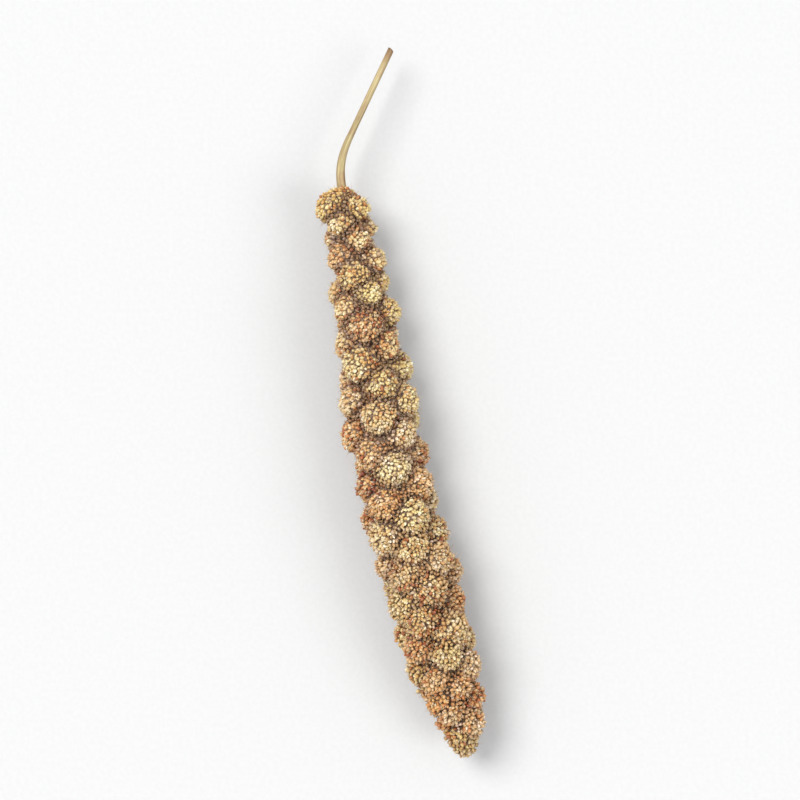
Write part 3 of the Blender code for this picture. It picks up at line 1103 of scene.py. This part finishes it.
bristly = np.flatnonzero(chance.random(len(seed_centre)) < BRISTLE_SHARE)
beside = unit(chance.normal(0.0, 1.0, (len(bristly), 3)))
bristle_way = seed_way[bristly] + BRISTLE_OUTWARD * seed_out[bristly]
bristle_way = unit(bristle_way + BRISTLE_SPREAD * chance.normal(0.0, 1.0, beside.shape))
beside = unit(np.cross(bristle_way, beside))
third = np.cross(bristle_way, beside)
lengths = chance.uniform(*BRISTLE_LENGTHS, len(bristly))
roots = seed_centre[bristly] - seed_way[bristly] * SEED_LENGTH * ROOT_BELOW
roots += beside * SEED_WIDTH * ROOT_ASIDE
needle, needle_triangles = turned_body(NEEDLE_HEIGHTS, NEEDLE_RINGS, NEEDLE_SIDES)
bend = needle[:, 2] ** 2 * BRISTLE_BEND
needle_frames = np.stack([beside * BRISTLE_RADIUS, third * BRISTLE_RADIUS, bristle_way], axis=1)
needle_frames[:, 2] *= lengths[:, None]
needles = roots[:, None, :] + np.matmul(needle, needle_frames)
needles += bend[None, :, None] * (beside * lengths[:, None])[:, None, :]
needles = needles[in_the_box(needles, BRISTLE_ALLOWANCE)]
triangles = copied_triangles(needle_triangles, len(needle), len(needles))
tones = chance.random(len(needles))[:, None]
looks = three_numbers(needles.shape[:2], tones, needle[:, 2], 0.0)
bristles = make_piece("bristles", needles, triangles, bristle_finish, looks)
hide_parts("seed_head")

# %% [markdown]
# ## The straw
#
# The stalk is a straw: stiff, slightly shiny and ribbed along its length, with a pale pith inside.
# It was snipped off at a slant. The skin is a tube whose radius goes up and down round the stem,
# which makes real ribs, and its first rings are pushed back on one side, which makes the slant.
#
# The finish stretches its noise along the stem. For that every point carries where it lies round
# the stem and along it, as if the straw had been unrolled.

# %% Straw finish
STRAW_TONES = (
    (0.25, (0.150, 0.090, 0.042)),
    (0.42, (0.270, 0.195, 0.095)),
    (0.62, (0.390, 0.305, 0.165)),
    (0.85, (0.520, 0.435, 0.270)),
)
CUT_SHADE = ((0.0, (0.46, 0.31, 0.24)), (0.05, (0.74, 0.60, 0.52)), (0.14, WHITE))
STREAK_SCALE = 1500.0
STREAK_STRETCH = (1.0, 1.0, 0.06)
STREAK_DEPTH = 0.00006
STREAK_GLOSS = ((0.3, (0.62, 0.62, 0.62)), (0.7, (0.40, 0.40, 0.40)))
BLOTCH_SCALE = 160.0
BLOTCH_EDGES = (0.36, 0.58)
PALE_BLOTCH = (0.97, 0.99, 0.84)


def straw_finish(name, dark_blotch):
    """Dry straw: streaks along the stem, brown near the cut, and ribs that catch the light."""
    material, shader = new_finish(name)
    numbers = add_node(material, "ShaderNodeAttribute", {}, attribute_name="looks")
    unrolled = numbers.outputs["Vector"]
    stretch = {0: unrolled, 1: STREAK_STRETCH}
    stretched = add_node(material, "ShaderNodeVectorMath", stretch, operation="MULTIPLY")
    streaks = add_noise(material, stretched.outputs["Vector"], STREAK_SCALE, detail=4.0)
    blotches = add_noise(material, object_place(material), BLOTCH_SCALE, detail=2.0)
    along = add_node(material, "ShaderNodeSeparateXYZ", {"Vector": unrolled}).outputs["Z"]
    reach = add_node(material, "ShaderNodeMapRange", {"Value": along, "From Max": STALK_LENGTH})
    colour = shaded(
        material,
        add_ramp(material, streaks, STRAW_TONES),
        add_ramp(material, blotches, tuple(zip(BLOTCH_EDGES, (dark_blotch, PALE_BLOTCH)))),
        add_ramp(material, reach.outputs["Result"], CUT_SHADE),
    )
    gloss = add_ramp(material, streaks, STREAK_GLOSS)
    normal = add_bump(material, streaks, STREAK_DEPTH)
    fill_inputs(shader, {"Base Color": colour, "Roughness": gloss, "Normal": normal})
    return material


DARK_STRAW = (0.80, 0.66, 0.58)

straw = straw_finish("straw_skin", DARK_STRAW)
print("The straw finish has", len(straw.node_tree.nodes), "nodes")

# %% Rings round the straw
STALK_RADIUS = 0.00105
STALK_FLARE = 0.00045
FLARE_START = 0.025
STRAW_SIDES = 90
CUT_TURN = 0.7

turn = np.arange(STRAW_SIDES) * math.tau / STRAW_SIDES


def stalk_radius(along):
    """The straw's radius at a distance from its cut end."""
    return STALK_RADIUS + STALK_FLARE * smooth_step(FLARE_START, STALK_LENGTH, along)


def stem_rings(places, shares, slant):
    """Rings round the middle line, and their places on the unrolled straw. shares scales the
    radius for each place and side, and slant pushes one side of a ring back."""
    rings = np.empty((len(places), STRAW_SIDES, 3))
    unrolled = np.empty(rings.shape)
    for row, place in enumerate(places):
        point, way = axis_at(place)
        side = np.array(way.cross(Vector((0.0, 0.0, 1.0))).normalized())
        up = np.cross(side, np.array(way))
        radius = stalk_radius(place) * shares[row]
        back = slant[row] * (1.0 - np.cos(turn - CUT_TURN))
        rings[row] = np.array(point) + np.array(way) * back[:, None]
        rings[row] += np.cos(turn)[:, None] * side * radius[:, None]
        rings[row] += np.sin(turn)[:, None] * up * radius[:, None]
        unrolled[row, :, 0] = STALK_RADIUS * np.cos(turn)
        unrolled[row, :, 1] = STALK_RADIUS * np.sin(turn)
        unrolled[row, :, 2] = place + back
    return rings, unrolled


print("The straw is", round(2000.0 * stalk_radius(0.0), 2), "mm thick at its cut")

# %% Straw skin with its slanted cut
STALK_IN_HEAD = 0.010
STRAW_STEP = 0.0008
RIBS = 15
RIB_DEPTH = 0.11
RIB_EVENNESS = 0.62
HIGH_SIDES = 4.0
HIGH_SIDES_TURN = 1.3
RIPPLE_DEPTH = 0.012
RIPPLE_RATE = 210.0
CUT_SLANT = 0.0004
CUT_REACH = 0.006
RIM_ROUNDING = 0.94
SHARP_EDGE = math.radians(50.0)
SKIN_THICKNESS = 0.00028
PITH_DEPTH = 0.00035
LIP_DEPTH = 1.4 * PITH_DEPTH

skin_places = np.arange(0.0, STALK_LENGTH + STALK_IN_HEAD, STRAW_STEP)
uneven = RIB_EVENNESS + (1.0 - RIB_EVENNESS) * np.cos(HIGH_SIDES * turn + HIGH_SIDES_TURN)
ribs = 1.0 - RIB_DEPTH * uneven * (0.5 + 0.5 * np.cos(RIBS * turn)) ** 2
ripple = 1.0 - RIPPLE_DEPTH * (0.5 + 0.5 * np.sin(skin_places * RIPPLE_RATE + 1.0))
slants = CUT_SLANT * np.clip(1.0 - skin_places / CUT_REACH, 0.0, 1.0)
inner_share = 1.0 - SKIN_THICKNESS / STALK_RADIUS
outer, outer_looks = stem_rings(skin_places, ripple[:, None] * ribs[None, :], slants)
lip_shares = np.full((2, STRAW_SIDES), inner_share)
lip, lip_looks = stem_rings([0.0, LIP_DEPTH], lip_shares, [CUT_SLANT] * 2)
outer[0] = lip[0] + (outer[0] - lip[0]) * RIM_ROUNDING
skin_points = capped(np.concatenate([lip[::-1], outer]))
skin_looks = capped(np.concatenate([lip_looks[::-1], outer_looks]))
skin_triangles = ring_triangles(len(lip) + len(outer), STRAW_SIDES)
stalk_skin = make_piece("straw_skin", skin_points, skin_triangles, straw, skin_looks)
stalk_skin.data.set_sharp_from_angle(angle=SHARP_EDGE)
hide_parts("stalk")

# %% [markdown]
# ## Pith in the cut end
#
# The snipped end shows a paler, spongy pith that has dried and shrunk below the rim. It is a small
# plug with a wavy end, and its finish is speckled with tiny dark pores.

# %% Pith
PITH_TONES = (
    (0.35, (0.340, 0.220, 0.120)),
    (0.50, (0.620, 0.500, 0.330)),
    (0.75, (0.780, 0.700, 0.520)),
)
PORE_SCALE = 5200.0
PORE_DEPTH = 0.00012
PLUG_LENGTH = 0.003
PLUG_RINGS = 5
PLUG_FIT = 1.03
END_RINGS = 6
END_WAVES = 5.0
END_WAVE_HEIGHT = 0.00006

pith_finish, pith_shader = new_finish("straw_pith")
pores = add_noise(pith_finish, object_place(pith_finish), PORE_SCALE, detail=2.0)
pith_colour = add_ramp(pith_finish, pores, PITH_TONES)
pith_normal = add_bump(pith_finish, pores, PORE_DEPTH)
fill_inputs(pith_shader, {"Base Color": pith_colour, "Normal": pith_normal, "Roughness": 0.85})

plug_places = [PITH_DEPTH + PLUG_LENGTH * k / (PLUG_RINGS - 1) for k in range(PLUG_RINGS)]
plug_shares = np.full((PLUG_RINGS, STRAW_SIDES), inner_share * PLUG_FIT)
plug, _ = stem_rings(plug_places, plug_shares, [CUT_SLANT] * PLUG_RINGS)
middle = plug[0].mean(axis=0)
end_rings = []
for k in range(1, END_RINGS + 1):
    spread = k / END_RINGS
    waves = END_WAVE_HEIGHT * np.sin(END_WAVES * turn + 2.0 * k) * (1.0 - spread)
    flat_ring = middle + (plug[0] - middle) * spread
    end_rings.append(flat_ring + np.outer(waves, np.array(axis_at(0.0)[1])))
pith_rings = np.concatenate([np.array(end_rings), plug[1:]])
pith_triangles = ring_triangles(len(pith_rings), STRAW_SIDES)
make_piece("straw_pith", capped(pith_rings), pith_triangles, pith_finish)

# %% [markdown]
# ## The stem inside the head
#
# Where the lobes stand apart, near the base, one can see the stem go on between them, and the
# short branch that each lobe sits on. Both are tubes: one long one that gets thinner, and a
# curved one for each lobe.

# %% Stem and side branches
STEM_STRETCH = (STALK_LENGTH + STALK_IN_HEAD - 0.002, STALK_LENGTH + HEAD_LENGTH - 0.012)
STEM_RADII = (0.00140, 0.0006)
STEM_POINTS = 90
STEM_SIDES = 16
GROOVES = 8
GROOVE_DEPTH = 0.10
BRANCH_RADII = (0.00075, 0.00042)
BRANCH_POINTS = 6
BRANCH_SIDES = 8
BRANCH_TIP = 0.2
KNEE_PLACE = 0.55
KNEE_DROP = 0.0005
DARK_FIBRE = (0.70, 0.58, 0.48)

stem_path = np.array([axis_at(place)[0] for place in np.linspace(*STEM_STRETCH, STEM_POINTS)])
stem_radii = np.linspace(*STEM_RADII, STEM_POINTS)
stem_turn = np.arange(STEM_SIDES) * math.tau / STEM_SIDES
grooves = 1.0 - GROOVE_DEPTH * (0.5 + 0.5 * np.cos(GROOVES * stem_turn))
branches = [tube(stem_path, stem_radii[:, None] * grooves[None, :], STEM_SIDES)]
knee_drop = np.array(axis_at(STALK_LENGTH)[1]) * KNEE_DROP
for lobe in lobes[:-1]:
    root, centre = np.array(lobe.root), np.array(lobe.centre)
    tip = centre + np.array(lobe.direction) * lobe.half_length * BRANCH_TIP
    knee = between((root, centre), KNEE_PLACE) - knee_drop
    share = np.linspace(0.0, 1.0, BRANCH_POINTS)[:, None]
    path = root * (1.0 - share) ** 2 + 2.0 * knee * share * (1.0 - share) + tip * share**2
    branches.append(tube(path, np.linspace(*BRANCH_RADII, BRANCH_POINTS), BRANCH_SIDES))
stem_points, stem_triangles = join_tables(branches)
stem_looks = stem_points.copy()
stem_looks[:, 2] = STALK_LENGTH
fibre = straw_finish("stem_fibre", DARK_FIBRE)
make_piece("stem_and_branches", stem_points, stem_triangles, fibre, stem_looks)

# %% [markdown]
# ## Check the size
#
# The finer pieces have to stay in the box of the measured solids. How far they stand past it on
# each side is printed, and so is the count of all triangles.

# %% Compare the boxes
bpy.context.view_layer.update()
shown_box = [list(corner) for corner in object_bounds()]
for axis, name in enumerate("xyz"):
    low = 1000.0 * (solid_box[0][axis] - shown_box[0][axis])
    high = 1000.0 * (shown_box[1][axis] - solid_box[1][axis])
    print(name, "stands proud by", round(low, 2), "mm and", round(high, 2), "mm")
triangle_count = 0
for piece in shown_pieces():
    triangle_count += sum(len(face.vertices) - 2 for face in piece.data.polygons)
print("All pieces together have", triangle_count, "triangles")
